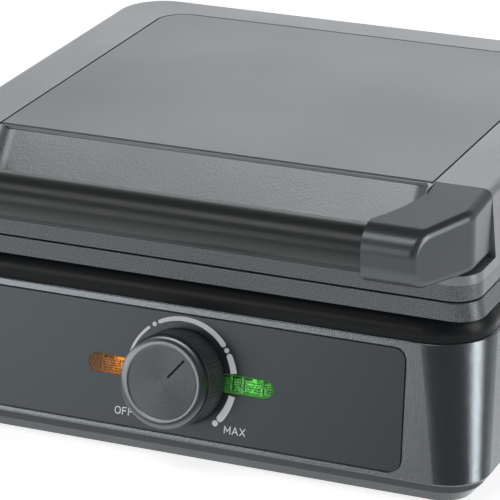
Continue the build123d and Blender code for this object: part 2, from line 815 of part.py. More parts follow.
def make_lid_top_plate():
    with BuildPart() as sheet:
        extrude(inset_face(LID_TOP, -GROOVE / 2), amount=-INSET_THICK)
        front_top = sheet.edges().filter_by(Axis.X).group_by(Axis.Y)[0].sort_by(Axis.Z)[-1]
        fillet(front_top, 1.9)
    save(sheet.part, "lid_top_plate")


def make_lid_rim():
    """The frame that holds the upper plate, screwed up into the lid cover."""
    level = LID_BOTTOM._replace(z=LID_RIM_LOW)
    seat = Level(LID_RIM_LOW, *plate_plan(0.3))
    opening = seat.inset(4.3)
    with BuildPart() as rim:
        add(block(level, level._replace(z=LID_RIM_TOP)))
        fillet(rim.edges().group_by(Axis.Z)[0], 0.6)
        add(block(seat, seat._replace(z=LID_RIM_LOW + PLATE_THICK)), mode=Mode.SUBTRACT)
        add(block(opening, opening._replace(z=LID_RIM_TOP)), mode=Mode.SUBTRACT)
        with BuildSketch(Plane.XY.offset(LID_RIM_LOW)):
            with Locations(*LID_BOSSES):
                Circle(SCREW_HEAD_R + 0.1)
        extrude(amount=SCREW_HEAD + 0.4, mode=Mode.SUBTRACT)
        with BuildSketch(Plane.XY.offset(LID_RIM_LOW)):
            with Locations(*LID_BOSSES):
                Circle(SCREW_R)
        extrude(amount=LID_RIM_TOP - LID_RIM_LOW, mode=Mode.SUBTRACT)
    save(rim.part, "lid_rim")


def make_thermal_fuse():
    """Safety fuse strapped on the back of the upper reflector."""
    z = LID_RIM_LOW + TRAY_FLOOR + TRAY_SHEET
    with BuildPart() as fuse:
        with BuildSketch(Plane((20.0, 40.0, z + 3.0), x_dir=(0, 1, 0), z_dir=(1, 0, 0))):
            Circle(2.2)
        extrude(amount=14.0, both=True)
        with BuildSketch(Plane.XY.offset(z)):
            with Locations((20.0, 40.0)):
                Rectangle(8.0, 14.0)
        extrude(amount=1.2)
    save(fuse.part, "thermal_fuse")


# ---------------------------------------------------------------- handle

ELBOW_X = 120.5
KNEE_Y = -107.0
SLEEVE_DEPTH = 10.5


def make_handle_arms():
    """The elbow from the lid's front corner to a sleeve around the bar's end."""
    with BuildPart() as arm:
        with BuildSketch(Plane.YZ.offset(ARM_END)) as profile:
            with BuildLine():
                Polyline(
                    (ARM_BACK, LID_TOP),
                    (ARM_FRONT, ARM_NOSE),
                    (ARM_FRONT, ARM_LOW),
                    (ARM_BACK, ARM_LOW),
                    close=True,
                )
            make_face()
            fillet(profile.vertices().sort_by_distance((ARM_FRONT, ARM_NOSE))[0], 11.5)
            fillet(profile.vertices().sort_by_distance((ARM_FRONT, ARM_LOW))[0], 10.0)
        extrude(amount=ARM_OUTER - ARM_END)
        with BuildSketch(Plane.XY.offset(ARM_LOW)) as plan:
            with BuildLine():
                flare = (ARM_INNER, ARM_BACK - 10.0)
                lip = (ARM_END, BAR_Y + 0.9)
                Line((ARM_INNER, ARM_BACK), flare)
                TangentArc(flare, lip, tangent=(-0.16, -1))
                Polyline(
                    lip,
                    (ARM_END, ARM_FRONT),
                    (ELBOW_X, ARM_FRONT),
                    (ARM_OUTER, KNEE_Y),
                    (ARM_OUTER, ARM_BACK),
                    (ARM_INNER, ARM_BACK),
                )
            make_face()
            knee = plan.vertices().sort_by_distance((ARM_OUTER, KNEE_Y))[0]
            fillet(knee, 14.0)
        extrude(amount=LID_TOP - ARM_LOW, mode=Mode.INTERSECT)
        fillet([edge for edge in arm.edges() if is_outer_edge(edge)], 4.0)
        with BuildSketch(Plane.YZ.offset(ARM_END)):
            with Locations((BAR_Y, BAR_Z)):
                Circle(BAR_R)
        extrude(amount=SLEEVE_DEPTH, mode=Mode.SUBTRACT)
        with BuildSketch(Plane.YZ.offset(ARM_END)):
            with Locations((BAR_Y, BAR_Z)):
                Circle(CORE_R)
        extrude(amount=17.0, mode=Mode.SUBTRACT)
        room = slope_tool(9.0, ARM_INNER, behind=True)
        add(room, mode=Mode.SUBTRACT)
        for plane in arm_screw_planes()[2:]:
            with BuildSketch(plane):
                Circle(SCREW_R)
            extrude(amount=18.0, mode=Mode.SUBTRACT)
    save(arm.part, "handle_arm_right")
    save(mirror(arm.part, about=Plane.YZ), "handle_arm_left")


def is_outer_edge(edge):
    """True for the edges around the arm's outer side, except against the lid."""
    middle = edge @ 0.5
    lean = (ARM_OUTER - ELBOW_X) / (KNEE_Y - ARM_FRONT)
    wall = min(ARM_OUTER, ELBOW_X + (middle.Y - ARM_FRONT) * lean)
    on_wall = abs(middle.X - wall) < 2.5
    upright = abs((edge % 0.5).Z) > 0.99
    knee_seam = upright and middle.Y > KNEE_Y - 15.0
    return on_wall and middle.Y < ARM_BACK - 1.0 and not knee_seam


def make_handle_bar():
    with BuildPart() as grip:
        with BuildSketch(Plane.YZ):
            with Locations((BAR_Y, BAR_Z)):
                Circle(BAR_R)
                Circle(CORE_R, mode=Mode.SUBTRACT)
        extrude(amount=ARM_END + SLEEVE_DEPTH, both=True)
    save(grip.part, "handle_grip")
    with BuildPart() as core:
        with BuildSketch(Plane.YZ):
            with Locations((BAR_Y, BAR_Z)):
                Circle(CORE_R)
                Circle(CORE_R - 1.5, mode=Mode.SUBTRACT)
        extrude(amount=ARM_END + 16.5, both=True)
    save(core.part, "handle_core")


# ---------------------------------------------------------------- hinges

def make_hinge_arm(side, name):
    """The lid's lever: a gusset on the lid's back, ending in a bored knuckle."""
    lean = (LID_BACK_LOW - LID_BACK_TOP) / (LID_TOP - LID_RIM_TOP)
    top = 126.0
    with BuildPart() as lever:
        with BuildSketch(Plane.YZ.offset(side * HINGE_X)):
            with Locations((HINGE_Y, HINGE_Z)):
                Circle(KNUCKLE_R)
            with BuildLine():
                Polyline(
                    (HINGE_Y - KNUCKLE_R, HINGE_Z),
                    (LID_BACK_LOW, LID_RIM_TOP),
                    (LID_BACK_LOW - (top - LID_RIM_TOP) * lean, top),
                    (LID_BACK_LOW + 3.5, top - 2.0),
                    (HINGE_Y + KNUCKLE_R, HINGE_Z),
                    (HINGE_Y - KNUCKLE_R, HINGE_Z),
                )
            make_face()
            with Locations((HINGE_Y, HINGE_Z)):
                Circle(PIN_R + PIN_PLAY, mode=Mode.SUBTRACT)
        extrude(amount=KNUCKLE_WIDTH / 2, both=True)
    save(lever.part, name)


def make_hinge_bracket(side, name):
    """The base's fork, standing on the shell's back."""
    lean = (SHELL_BACK_LOW - SHELL_BACK_TOP) / (SHELL_TOP - SHELL_LOW)
    foot = 56.0
    web_top = HINGE_Z - KNUCKLE_R - 1.0
    back = HINGE_Y + KNUCKLE_R
    with BuildPart() as fork:
        with BuildSketch(Plane.YZ.offset(side * HINGE_X)):
            with Locations((HINGE_Y, HINGE_Z)):
                Circle(KNUCKLE_R)
            with BuildLine():
                Polyline(
                    (HINGE_Y - KNUCKLE_R, HINGE_Z),
                    (HINGE_Y - KNUCKLE_R, RIM_LOW + 2.0),
                    (SHELL_BACK_TOP, RIM_LOW),
                    (SHELL_BACK_TOP, SHELL_TOP),
                    (SHELL_BACK_TOP + (SHELL_TOP - foot) * lean, foot),
                    (back - 5.0, foot),
                    (back, foot + 9.0),
                    (back, HINGE_Z),
                    (HINGE_Y - KNUCKLE_R, HINGE_Z),
                )
            make_face()
            with Locations((HINGE_Y, HINGE_Z)):
                Circle(PIN_R, mode=Mode.SUBTRACT)
        extrude(amount=BRACKET_WIDTH / 2, both=True)
        with BuildSketch(Plane.XY.offset(web_top)):
            with Locations((side * HINGE_X, HINGE_Y)):
                Rectangle(KNUCKLE_WIDTH + 2 * HINGE_PLAY, 4 * KNUCKLE_R)
        extrude(amount=4 * KNUCKLE_R, mode=Mode.SUBTRACT)
        for plane in bracket_screw_planes():
            with BuildSketch(plane):
                Circle(SCREW_R)
            extrude(amount=BRACKET_SCREW, mode=Mode.SUBTRACT)
    save(fork.part, name)


def make_hinge_pin(side, name):
    with BuildPart() as pin:
        with BuildSketch(Plane.YZ.offset(side * HINGE_X)):
            with Locations((HINGE_Y, HINGE_Z)):
                Circle(PIN_R)
        extrude(amount=BRACKET_WIDTH / 2, both=True)
    save(pin.part, name)


def main():
    make_base_shell()
    make_control_panel()
    make_base_collar()
    make_base_rim()
    make_bottom_pan()
    make_feet()
    make_cord_gland()
    make_terminal_block()
    make_thermostat()
    make_lenses()
    make_lamps()
    make_knob()
    for side, half in ((-1, "lower"), (1, "upper")):
        make_mould(side, f"{half}_plate")
        make_reflector(side, f"{half}_reflector")
        make_element(side, f"{half}_element")
        make_element_clips(side, f"{half}_element_clips")
    make_lid_cover()
    make_lid_top_plate()
    make_lid_rim()
    make_thermal_fuse()
    make_handle_arms()
    make_handle_bar()
    for side, half in ((-1, "left"), (1, "right")):
        make_hinge_arm(side, f"hinge_arm_{half}")
        make_hinge_bracket(side, f"hinge_bracket_{half}")
        make_hinge_pin(side, f"hinge_pin_{half}")
    tray_out = TRAY_FLOOR + TRAY_SHEET
    above = upright_planes(PLATE_BOSSES, LID_RIM_LOW + tray_out, -1)
    below = upright_planes(PLATE_BOSSES, RIM_TOP - tray_out, 1)
    screws(above, 12.0, "upper_plate_screws")
    screws(below, 12.0, "lower_plate_screws")
    screws(upright_planes(SHELL_BOSSES, PAN_LOW + PAN_SCREW_SINK, 1), 18.0, "pan_screws")
    rim_sink = SCREW_HEAD + 0.4
    screws(upright_planes(LID_BOSSES, LID_RIM_LOW + rim_sink, 1), 18.0, "lid_rim_screws")
    screws(thermostat_screw_planes(), WALL + 4.0, "thermostat_screws")
    screws(arm_screw_planes(), 16.0, "arm_screws")
    screws(bracket_screw_planes(), BRACKET_SCREW - 1.0, "hinge_screws")


main()
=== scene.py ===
import json
from math import ceil, cos, pi, radians, sin

import bmesh
import bpy
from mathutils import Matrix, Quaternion, Vector


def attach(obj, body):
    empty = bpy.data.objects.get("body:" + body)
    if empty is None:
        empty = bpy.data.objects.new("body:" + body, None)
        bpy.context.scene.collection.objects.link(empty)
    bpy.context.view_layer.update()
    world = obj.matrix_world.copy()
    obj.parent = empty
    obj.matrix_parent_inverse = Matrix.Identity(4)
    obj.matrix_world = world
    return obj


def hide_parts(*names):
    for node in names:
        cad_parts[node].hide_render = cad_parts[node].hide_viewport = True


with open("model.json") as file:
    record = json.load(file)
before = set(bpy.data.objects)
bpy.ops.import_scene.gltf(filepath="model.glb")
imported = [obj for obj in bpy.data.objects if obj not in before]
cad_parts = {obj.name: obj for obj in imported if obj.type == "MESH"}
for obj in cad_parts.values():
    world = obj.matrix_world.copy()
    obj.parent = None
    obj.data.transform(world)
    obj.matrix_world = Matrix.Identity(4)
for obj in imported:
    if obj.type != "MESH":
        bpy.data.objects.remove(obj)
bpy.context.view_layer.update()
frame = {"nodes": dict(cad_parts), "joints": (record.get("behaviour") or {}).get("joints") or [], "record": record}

MM = 0.001

# The control panel leans back; its plane carries the dial, the lenses and the print.
PANEL_TILT = radians(13.5)
PANEL_RIGHT = Vector((1, 0, 0))
PANEL_UP = Vector((0, sin(PANEL_TILT), cos(PANEL_TILT)))
PANEL_OUT = Vector((0, -cos(PANEL_TILT), sin(PANEL_TILT)))


def dial_joint():
    return next(joint for joint in frame["joints"] if joint["name"] == "dial_turn")


DIAL_CENTRE = Vector(dial_joint()["pos_m"])


def on_panel(x, up, out=0.0):
    """A point given in millimetres on the control panel, from the dial's centre."""
    return DIAL_CENTRE + (PANEL_RIGHT * x + PANEL_UP * up + PANEL_OUT * out) * MM


# ================================================================ materials

# Where a colour Mix node keeps its sockets.
MIX_FACTOR, MIX_A, MIX_B, MIX_RESULT = 0, 6, 7, 2
CELL_SMOOTHNESS = 0.6
# The middle part of a noise texture's output, where nearly all of it lies.
NOISE_LOW, NOISE_HIGH = 0.3, 0.7
SMOOTHEST = 0.02


class Shade:
    """One procedural material: a Principled shader and the nodes that feed it."""

    def __init__(self, name, colour, rough, metal=0.0, specular=0.5):
        self.mat = bpy.data.materials.new(name)
        self.mat.use_nodes = True
        self.tree = self.mat.node_tree
        self.bsdf = self.tree.nodes["Principled BSDF"]
        self.set("Base Color", (*colour, 1.0))
        self.set("Roughness", rough)
        self.set("Metallic", metal)
        self.set("Specular IOR Level", specular)
        self.colour = colour
        self.rough = rough
        self.height = None

    def set(self, socket, value):
        self.bsdf.inputs[socket].default_value = value

    def node(self, kind, inputs=(), **settings):
        made = self.tree.nodes.new(kind)
        for key, value in settings.items():
            setattr(made, key, value)
        for key, value in dict(inputs).items():
            if isinstance(value, bpy.types.NodeSocket):
                self.tree.links.new(value, made.inputs[key])
            else:
                made.inputs[key].default_value = value
        return made

    def link(self, source, socket):
        self.tree.links.new(source, self.bsdf.inputs[socket])

    def place(self, stretch=(1, 1, 1)):
        """Object coordinates in metres, stretched along the axes."""
        coords = self.node("ShaderNodeTexCoord").outputs["Object"]
        if stretch == (1, 1, 1):
            return coords
        return self.node("ShaderNodeMapping", {"Vector": coords, "Scale": stretch}).outputs[0]

    def noise(self, per_metre, detail=2.0, roughness=0.5, stretch=(1, 1, 1), distortion=0.0):
        made = self.node("ShaderNodeTexNoise", {
            "Vector": self.place(stretch),
            "Scale": per_metre,
            "Detail": detail,
            "Roughness": roughness,
            "Distortion": distortion,
        })
        return made.outputs["Fac"]

    def cells(self, per_metre):
        made = self.node("ShaderNodeTexVoronoi", {
            "Vector": self.place(),
            "Scale": per_metre,
            "Smoothness": CELL_SMOOTHNESS,
        }, feature="SMOOTH_F1")
        return made.outputs["Distance"]

    def math(self, operation, a, b=0.0):
        return self.node("ShaderNodeMath", {0: a, 1: b}, operation=operation).outputs[0]

    def vector(self, operation, a, b=(0, 0, 0)):
        return self.node("ShaderNodeVectorMath", {0: a, 1: b}, operation=operation)

    def span(self, value, low, high, to_low=0.0, to_high=1.0):
        made = self.node("ShaderNodeMapRange", {
            "Value": value,
            "From Min": low,
            "From Max": high,
            "To Min": to_low,
            "To Max": to_high,
        })
        return made.outputs["Result"]

    def mix(self, factor, a, b):
        """Colour a where factor is 0 and b where it is 1."""
        inputs = {MIX_FACTOR: factor}
        for index, value in ((MIX_A, a), (MIX_B, b)):
            socket = isinstance(value, bpy.types.NodeSocket)
            inputs[index] = value if socket else (*value, 1.0)
        return self.node("ShaderNodeMix", inputs, data_type="RGBA").outputs[MIX_RESULT]

    def bump(self, height, depth, strength=1.0):
        """Relief of the given depth in metres; more than one call adds up."""
        settings = {"Height": height, "Distance": depth, "Strength": strength}
        if self.height is not None:
            settings["Normal"] = self.height
        self.height = self.node("ShaderNodeBump", settings).outputs["Normal"]
        self.link(self.height, "Normal")
        return self

    def speckle(self, per_metre, amount):
        """Fine brighter and darker flecks around the base colour."""
        flecks = self.span(self.noise(per_metre, 1.0), NOISE_LOW, NOISE_HIGH)
        dark = tuple(channel * (1 - amount) for channel in self.colour)
        light = tuple(min(channel * (1 + amount), 1.0) for channel in self.colour)
        self.link(self.mix(flecks, dark, light), "Base Color")
        return self

    def uneven(self, per_metre, spread):
        """Slow changes in roughness, as handling and moulding leave."""
        drift = self.noise(per_metre, 3.0)
        low = max(self.rough - spread, SMOOTHEST)
        rough = self.span(drift, NOISE_LOW, NOISE_HIGH, low, self.rough + spread)
        self.link(rough, "Roughness")
        return self


def lid_paint():
    shade = Shade("lid_paint", (0.205, 0.211, 0.218), 0.38, metal=0.6)
    shade.uneven(9.0, 0.03)
    return shade.bump(shade.noise(2600.0, 2.0), 0.00002, 0.35).mat


def lid_grain():
    shade = Shade("lid_grain", (0.275, 0.285, 0.296), 0.36, metal=0.6)
    shade.uneven(14.0, 0.03)
    return leather(shade, 0.00013, 1050.0).mat


def leather(shade, depth, per_metre):
    """Fine hide grain: irregular cells with softer folds between them."""
    cells = shade.cells(per_metre)
    creases = shade.noise(per_metre * 1.6, 3.0, 0.6, distortion=0.4)
    rounded = shade.math("MULTIPLY", cells, 0.7)
    folded = shade.math("MULTIPLY", creases, 0.6)
    return shade.bump(shade.math("ADD", rounded, folded), depth, 0.55)


def arm_gloss():
    shade = Shade("arm_gloss", (0.108, 0.120, 0.128), 0.30, metal=0.7)
    shade.uneven(22.0, 0.03)
    return shade.bump(shade.noise(1900.0, 3.0), 0.00004, 0.4).mat


def soft_grip():
    shade = Shade("soft_grip", (0.012, 0.014, 0.015), 0.34)
    shade.set("Sheen Weight", 0.15)
    shade.set("Sheen Roughness", 0.5)
    shade.uneven(60.0, 0.03)
    return shade.bump(shade.noise(3200.0, 3.0), 0.00003, 0.5).mat


def rim_plastic():
    shade = Shade("rim_plastic", (0.150, 0.165, 0.175), 0.38, metal=0.7)
    shade.speckle(1600.0, 0.35)
    return shade.bump(shade.noise(1900.0, 3.0, 0.65), 0.00012, 0.5).mat


def collar_gloss():
    shade = Shade("collar_gloss", (0.006, 0.007, 0.008), 0.36, specular=0.25)
    shade.uneven(30.0, 0.04)
    return shade.bump(shade.noise(900.0, 2.0), 0.00002, 0.3).mat


def shell_metallic():
    shade = Shade("shell_metallic", (0.185, 0.203, 0.215), 0.27, metal=0.95)
    shade.speckle(1800.0, 0.12)
    return leather(shade, 0.00009, 1500.0).mat


def panel_metallic():
    shade = Shade("panel_metallic", (0.062, 0.071, 0.076), 0.33, metal=0.7)
    shade.speckle(3600.0, 0.10)
    return shade.bump(shade.noise(3000.0, 2.0), 0.00002, 0.3).mat


def pan_plastic():
    shade = Shade("pan_plastic", (0.075, 0.082, 0.087), 0.42, metal=0.3)
    shade.uneven(25.0, 0.05)
    return shade.bump(shade.noise(1700.0, 3.0), 0.00006, 0.5).mat


def hinge_plastic():
    shade = Shade("hinge_plastic", (0.055, 0.06, 0.063), 0.5)
    shade.speckle(1500.0, 0.3)
    return shade.bump(shade.noise(1700.0, 3.0), 0.0001, 0.5).mat


def cast_coated():
    """Non-stick coating: near black, fine orange peel and mica flecks."""
    shade = Shade("cast_coated", (0.022, 0.022, 0.024), 0.38)
    mica = shade.span(shade.noise(2600.0, 0.0), 0.72, 0.78)
    shade.link(shade.mix(mica, shade.colour, (0.16, 0.16, 0.17)), "Base Color")
    shade.set("Coat Weight", 0.35)
    shade.set("Coat Roughness", 0.25)
    return shade.bump(shade.noise(700.0, 3.0), 0.00008, 0.4).mat


def heater_steel():
    """Heater sheath, straw to blue where it has run hot."""
    shade = Shade("heater_steel", (0.20, 0.185, 0.16), 0.42, metal=0.9)
    heat = shade.span(shade.noise(45.0, 3.0), 0.35, 0.65)
    shade.link(shade.mix(heat, (0.26, 0.22, 0.16), (0.10, 0.105, 0.13)), "Base Color")
    return shade.bump(shade.noise(2200.0, 2.0), 0.00004, 0.4).mat


def brushed(name, colour, rough, stretch):
    shade = Shade(name, colour, rough, metal=1.0)
    lines = shade.noise(900.0, 4.0, 0.7, stretch=stretch)
    streaks = shade.span(lines, NOISE_LOW, NOISE_HIGH, rough - 0.06, rough + 0.08)
    shade.link(streaks, "Roughness")
    return shade.bump(lines, 0.00003, 0.4).mat


def tray_steel():
    return brushed("tray_steel", (0.52, 0.53, 0.54), 0.30, (1, 0.04, 1))


def pin_steel():
    return brushed("pin_steel", (0.50, 0.51, 0.52), 0.24, (0.05, 1, 1))


def screw_steel():
    shade = Shade("screw_steel", (0.36, 0.37, 0.38), 0.34, metal=1.0)
    tint = shade.span(shade.noise(500.0, 2.0), 0.35, 0.65)
    shade.link(shade.mix(tint, (0.32, 0.32, 0.34), (0.44, 0.43, 0.38)), "Base Color")
    return shade.bump(shade.noise(2500.0, 2.0), 0.00003, 0.5).mat


def phenolic():
    shade = Shade("phenolic", (0.55, 0.52, 0.45), 0.5)
    shade.speckle(900.0, 0.12)
    return shade.bump(shade.noise(1400.0, 3.0), 0.00006, 0.4).mat


def lens_clear(name, colour):
    """Clear tinted moulding, seen over its lit prisms."""
    shade = Shade(name, colour, 0.06)
    shade.set("Transmission Weight", 0.95)
    shade.set("IOR", 1.2)
    return shade.bump(shade.noise(380.0, 2.0), 0.00003, 0.3).mat


def lamp_glass():
    shade = Shade("lamp_glass", (0.9, 0.86, 0.8), 0.08)
    shade.set("Transmission Weight", 0.8)
    shade.set("IOR", 1.46)
    return shade.bump(shade.noise(400.0, 2.0), 0.00005, 0.4).mat


def rubber_black():
    shade = Shade("rubber_black", (0.02, 0.02, 0.021), 0.72, specular=0.3)
    shade.uneven(120.0, 0.08)
    return shade.bump(shade.noise(2400.0, 3.0), 0.00006, 0.6).mat


def knob_plastic():
    shade = Shade("knob_plastic", (0.028, 0.031, 0.033), 0.38)
    shade.uneven(90.0, 0.04)
    return shade.bump(shade.noise(2600.0, 2.0), 0.00003, 0.5).mat


DISC_EDGE = 16.9
TURNED_LINES = 2200.0


def knob_metal():
    """Turned disc: circular tool lines about the dial's axis."""
    shade = Shade("knob_metal", (0.12, 0.13, 0.136), 0.28, metal=1.0)
    offset = shade.vector("SUBTRACT", shade.place(), DIAL_CENTRE).outputs[0]
    around = shade.vector("CROSS_PRODUCT", offset, PANEL_OUT).outputs[0]
    radius = shade.vector("LENGTH", around).outputs["Value"]
    lines = shade.node("ShaderNodeTexNoise", {
        "W": radius,
        "Scale": TURNED_LINES,
        "Detail": 2.0,
    }, noise_dimensions="1D").outputs["Fac"]
    disc = shade.math("LESS_THAN", radius, DISC_EDGE * MM)
    turned = shade.math("MULTIPLY", lines, disc)
    polish = shade.mix(disc, (0.19, 0.203, 0.213), (0.11, 0.118, 0.124))
    shade.link(shade.mix(turned, polish, (0.06, 0.064, 0.068)), "Base Color")
    shade.set("Anisotropic", 0.7)
    shade.link(shade.vector("NORMALIZE", around).outputs[0], "Tangent")
    return shade.bump(turned, 0.00006, 0.5).mat


def pointer_black():
    shade = Shade("pointer_black", (0.004, 0.004, 0.005), 0.55, specular=0.2)
    return shade.bump(shade.noise(3000.0, 2.0), 0.00002, 0.5).mat


def print_white():
    """Screen-printed ink, a little uneven at its edge."""
    shade = Shade("print_white", (0.80, 0.81, 0.83), 0.5)
    shade.speckle(2400.0, 0.04)
    return shade.bump(shade.noise(3000.0, 2.0), 0.00001, 0.4).mat


FACET_SIZE = 0.9


def glow(name, dark, hot, bright_x, reach, strength, dull):
    """Tinted moulding lit by a lamp at bright_x millimetres along the panel.

    dull is how bright the dullest facets are, as a share of the brightest.
    """
    shade = Shade(name, dark, 0.2)
    x = shade.node("ShaderNodeSeparateXYZ", {"Vector": shade.place()}).outputs["X"]
    away = shade.math("ABSOLUTE", shade.math("SUBTRACT", x, bright_x * MM))
    near = shade.span(away, 0.0, reach * MM, 1.0, 0.0)
    snapped = shade.vector("SNAP", shade.place(), (FACET_SIZE * MM,) * 3).outputs[0]
    facets = shade.node("ShaderNodeTexWhiteNoise", {"Vector": snapped}).outputs["Value"]
    lit = shade.math("MULTIPLY", near, shade.span(facets, 0.25, 1.0, dull, 1.0))
    colour = shade.mix(lit, dark, hot)
    shade.link(colour, "Base Color")
    shade.link(colour, "Emission Color")
    shade.set("Emission Strength", strength)
    return shade.bump(shade.noise(1200.0, 2.0), 0.00004, 0.3).mat


MATERIALS = {
    "lid_paint": lid_paint(),
    "lid_grain": lid_grain(),
    "arm_gloss": arm_gloss(),
    "soft_grip": soft_grip(),
    "rim_plastic": rim_plastic(),
    "collar_gloss": collar_gloss(),
    "shell_metallic": shell_metallic(),
    "panel_metallic": panel_metallic(),
    "pan_plastic": pan_plastic(),
    "hinge_plastic": hinge_plastic(),
    "cast_coated": cast_coated(),
    "heater_steel": heater_steel(),
    "tray_steel": tray_steel(),
    "pin_steel": pin_steel(),
    "screw_steel": screw_steel(),
    "phenolic": phenolic(),
    "amber_clear": lens_clear("amber_clear", (0.92, 0.56, 0.26)),
    "green_clear": lens_clear("green_clear", (0.36, 0.72, 0.34)),
    "lamp_glass": lamp_glass(),
    "rubber_black": rubber_black(),
    "knob_plastic": knob_plastic(),
    "knob_metal": knob_metal(),
    "pointer_black": pointer_black(),
}


def dress_cad():
    """Gives every CAD node the procedural material of its slot."""
    slots = {row["node"]: row["material_slot"] for row in frame["record"]["subparts"]}
    for node, obj in frame["nodes"].items():
        material = MATERIALS[slots[node]]
        if not obj.material_slots:
            obj.data.materials.append(material)
        for entry in obj.material_slots:
            entry.material = material


# ================================================================ pieces

def piece(name, mesh, body, material):
    obj = bpy.data.objects.new(name, mesh)
    bpy.context.scene.collection.objects.link(obj)
    obj.data.materials.append(material)
    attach(obj, body)
    return obj


def mesh_from(bm, name):
    bmesh.ops.recalc_face_normals(bm, faces=bm.faces)
    mesh = bpy.data.meshes.new(name)
    bm.to_mesh(mesh)
    bm.free()
    return mesh


def ring_of(bm, outline, height):
    """Vertices on the panel, along an outline in millimetres."""
    return [bm.verts.new(on_panel(x, up, height)) for x, up in outline]


def skin(bm, rings):
    """Walls from each closed ring of vertices to the next."""
    for a, b in zip(rings, rings[1:]):
        for k in range(len(a)):
            m = (k + 1) % len(a)
            bm.faces.new((a[k], a[m], b[m], b[k]))


def prism(bm, outline, low, high):
    """A solid on the panel: an outline in millimetres, between two heights."""
    floor = ring_of(bm, outline, low)
    roof = ring_of(bm, outline, high)
    bm.faces.new(roof)
    bm.faces.new(floor[::-1])
    skin(bm, [floor, roof])


def rectangle(left, right, low, high):
    return [(left, low), (right, low), (right, high), (left, high)]


# The dial's print, in millimetres; arcs are cut into steps of a few degrees.
PRINT_HEIGHT = 0.06
SCALE_R = 27.0
ARC_STEP = 3
FEWEST_STEPS = 6
ROUND_STEPS = 8
DOT_STEPS = 4 * ROUND_STEPS


def turn(angle, radius):
    """A point on the dial, its angle in degrees clockwise from the top."""
    return radius * sin(radians(angle)), radius * cos(radians(angle))


def arc_outline(start, end, thick_start, thick_end, round_start=True, round_end=True):
    """A printed arc of changing thickness, with round or square ends."""
    steps = max(FEWEST_STEPS, ceil((end - start) / ARC_STEP))
    outer, inner = [], []
    for i in range(steps + 1):
        share = i / steps
        half = (thick_start + (thick_end - thick_start) * share) / 2
        angle = start + (end - start) * share
        outer.append(turn(angle, SCALE_R + half))
        inner.append(turn(angle, SCALE_R - half))

    def cap(angle, thick, forward):
        """The half circle at an end, without the two points it shares."""
        middle = Vector(turn(angle, SCALE_R))
        along = Vector((cos(radians(angle)), -sin(radians(angle)))) * forward
        across = Vector((sin(radians(angle)), cos(radians(angle)))) * forward
        points = []
        for i in range(1, ROUND_STEPS):
            sweep = pi * i / ROUND_STEPS
            points.append(middle + (across * cos(sweep) + along * sin(sweep)) * thick / 2)
        return [tuple(point) for point in points]

    loop = list(outer)
    if round_end:
        loop += cap(end, thick_end, 1)
    loop += inner[::-1]
    if round_start:
        loop += cap(start, thick_start, -1)
    return loop


def dot_outline(angle, radius):
    middle = Vector(turn(angle, SCALE_R))
    points = []
    for i in range(DOT_STEPS):
        sweep = -2 * pi * i / DOT_STEPS
        points.append((middle.x + radius * cos(sweep), middle.y + radius * sin(sweep)))
    return points


# Start and end in degrees, the thickness at each, and whether each is round.
# The arcs leave room for the lenses.
ARCS = (
    (-111.0, -94.0, 0.7, 0.9, True, False),
    (-74.0, -40.5, 1.0, 1.4, False, True),
    (-27.0, 48.0, 1.9, 2.6, True, True),
    (61.5, 78.5, 2.9, 3.1, True, False),
    (101.0, 127.0, 3.1, 3.4, False, True),
)
# Angle in degrees and radius.
DOTS = ((-118.0, 0.8), (-33.4, 1.1), (54.7, 1.2), (134.4, 1.45))


def make_scale():
    """The heat scale: four dots with arcs between them that grow thicker."""
    bm = bmesh.new()
    for arc in ARCS:
        prism(bm, arc_outline(*arc), 0, PRINT_HEIGHT)
    for dot in DOTS:
        prism(bm, dot_outline(*dot), 0, PRINT_HEIGHT)
    piece("dial_scale_print", mesh_from(bm, "dial_scale_print"), "base", WHITE)


STROKE = 0.46
# Each letter's strokes, in widths and heights of the letter; O is a loop.
LETTERS = {
    "A": [((0, 0), (0.5, 1)), ((0.5, 1), (1, 0)), ((0.2, 0.33), (0.8, 0.33))],
    "F": [((0, 0), (0, 1)), ((0, 1), (1, 1)), ((0, 0.52), (0.85, 0.52))],
    "M": [((0, 0), (0, 1)), ((0, 1), (0.5, 0.28)), ((0.5, 0.28), (1, 1)), ((1, 1), (1, 0))],
    "X": [((0, 0), (1, 1)), ((0, 1), (1, 0))],
}
LETTER_WIDTHS = {"A": 2.6, "F": 1.9, "M": 2.8, "O": 2.6, "X": 2.4}
LETTER_GAP = 1.15


def stroke_outline(start, end):
    """The rectangle around one stroke, in millimetres on the panel."""
    a, b = Vector(start), Vector(end)
    along = (b - a).normalized() * STROKE / 2
    across = Vector((-along.y, along.x))
    corners = (a - along - across, b + along - across, b + along + across, a - along + across)
    return [tuple(corner) for corner in corners]


LOOP_STEPS = 28
LOOP_SQUARENESS = 0.8


def add_loop(bm, left, low, width, height):
    """The letter O: a ring a little squarer than an ellipse."""
    def rounded(grow):
        points = []
        for i in range(LOOP_STEPS):
            angle = 2 * pi * i / LOOP_STEPS
            x, y = cos(angle), sin(angle)
            x = abs(x) ** LOOP_SQUARENESS * (1 if x > 0 else -1)
            y = abs(y) ** LOOP_SQUARENESS * (1 if y > 0 else -1)
            points.append((
                left + width / 2 + x * (width / 2 + grow),
                low + height / 2 + y * (height / 2 + grow),
            ))
        return points

    half = STROKE / 2
    layers = ((half, 0), (half, PRINT_HEIGHT), (-half, PRINT_HEIGHT))
    skin(bm, [ring_of(bm, rounded(grow), height) for grow, height in layers])


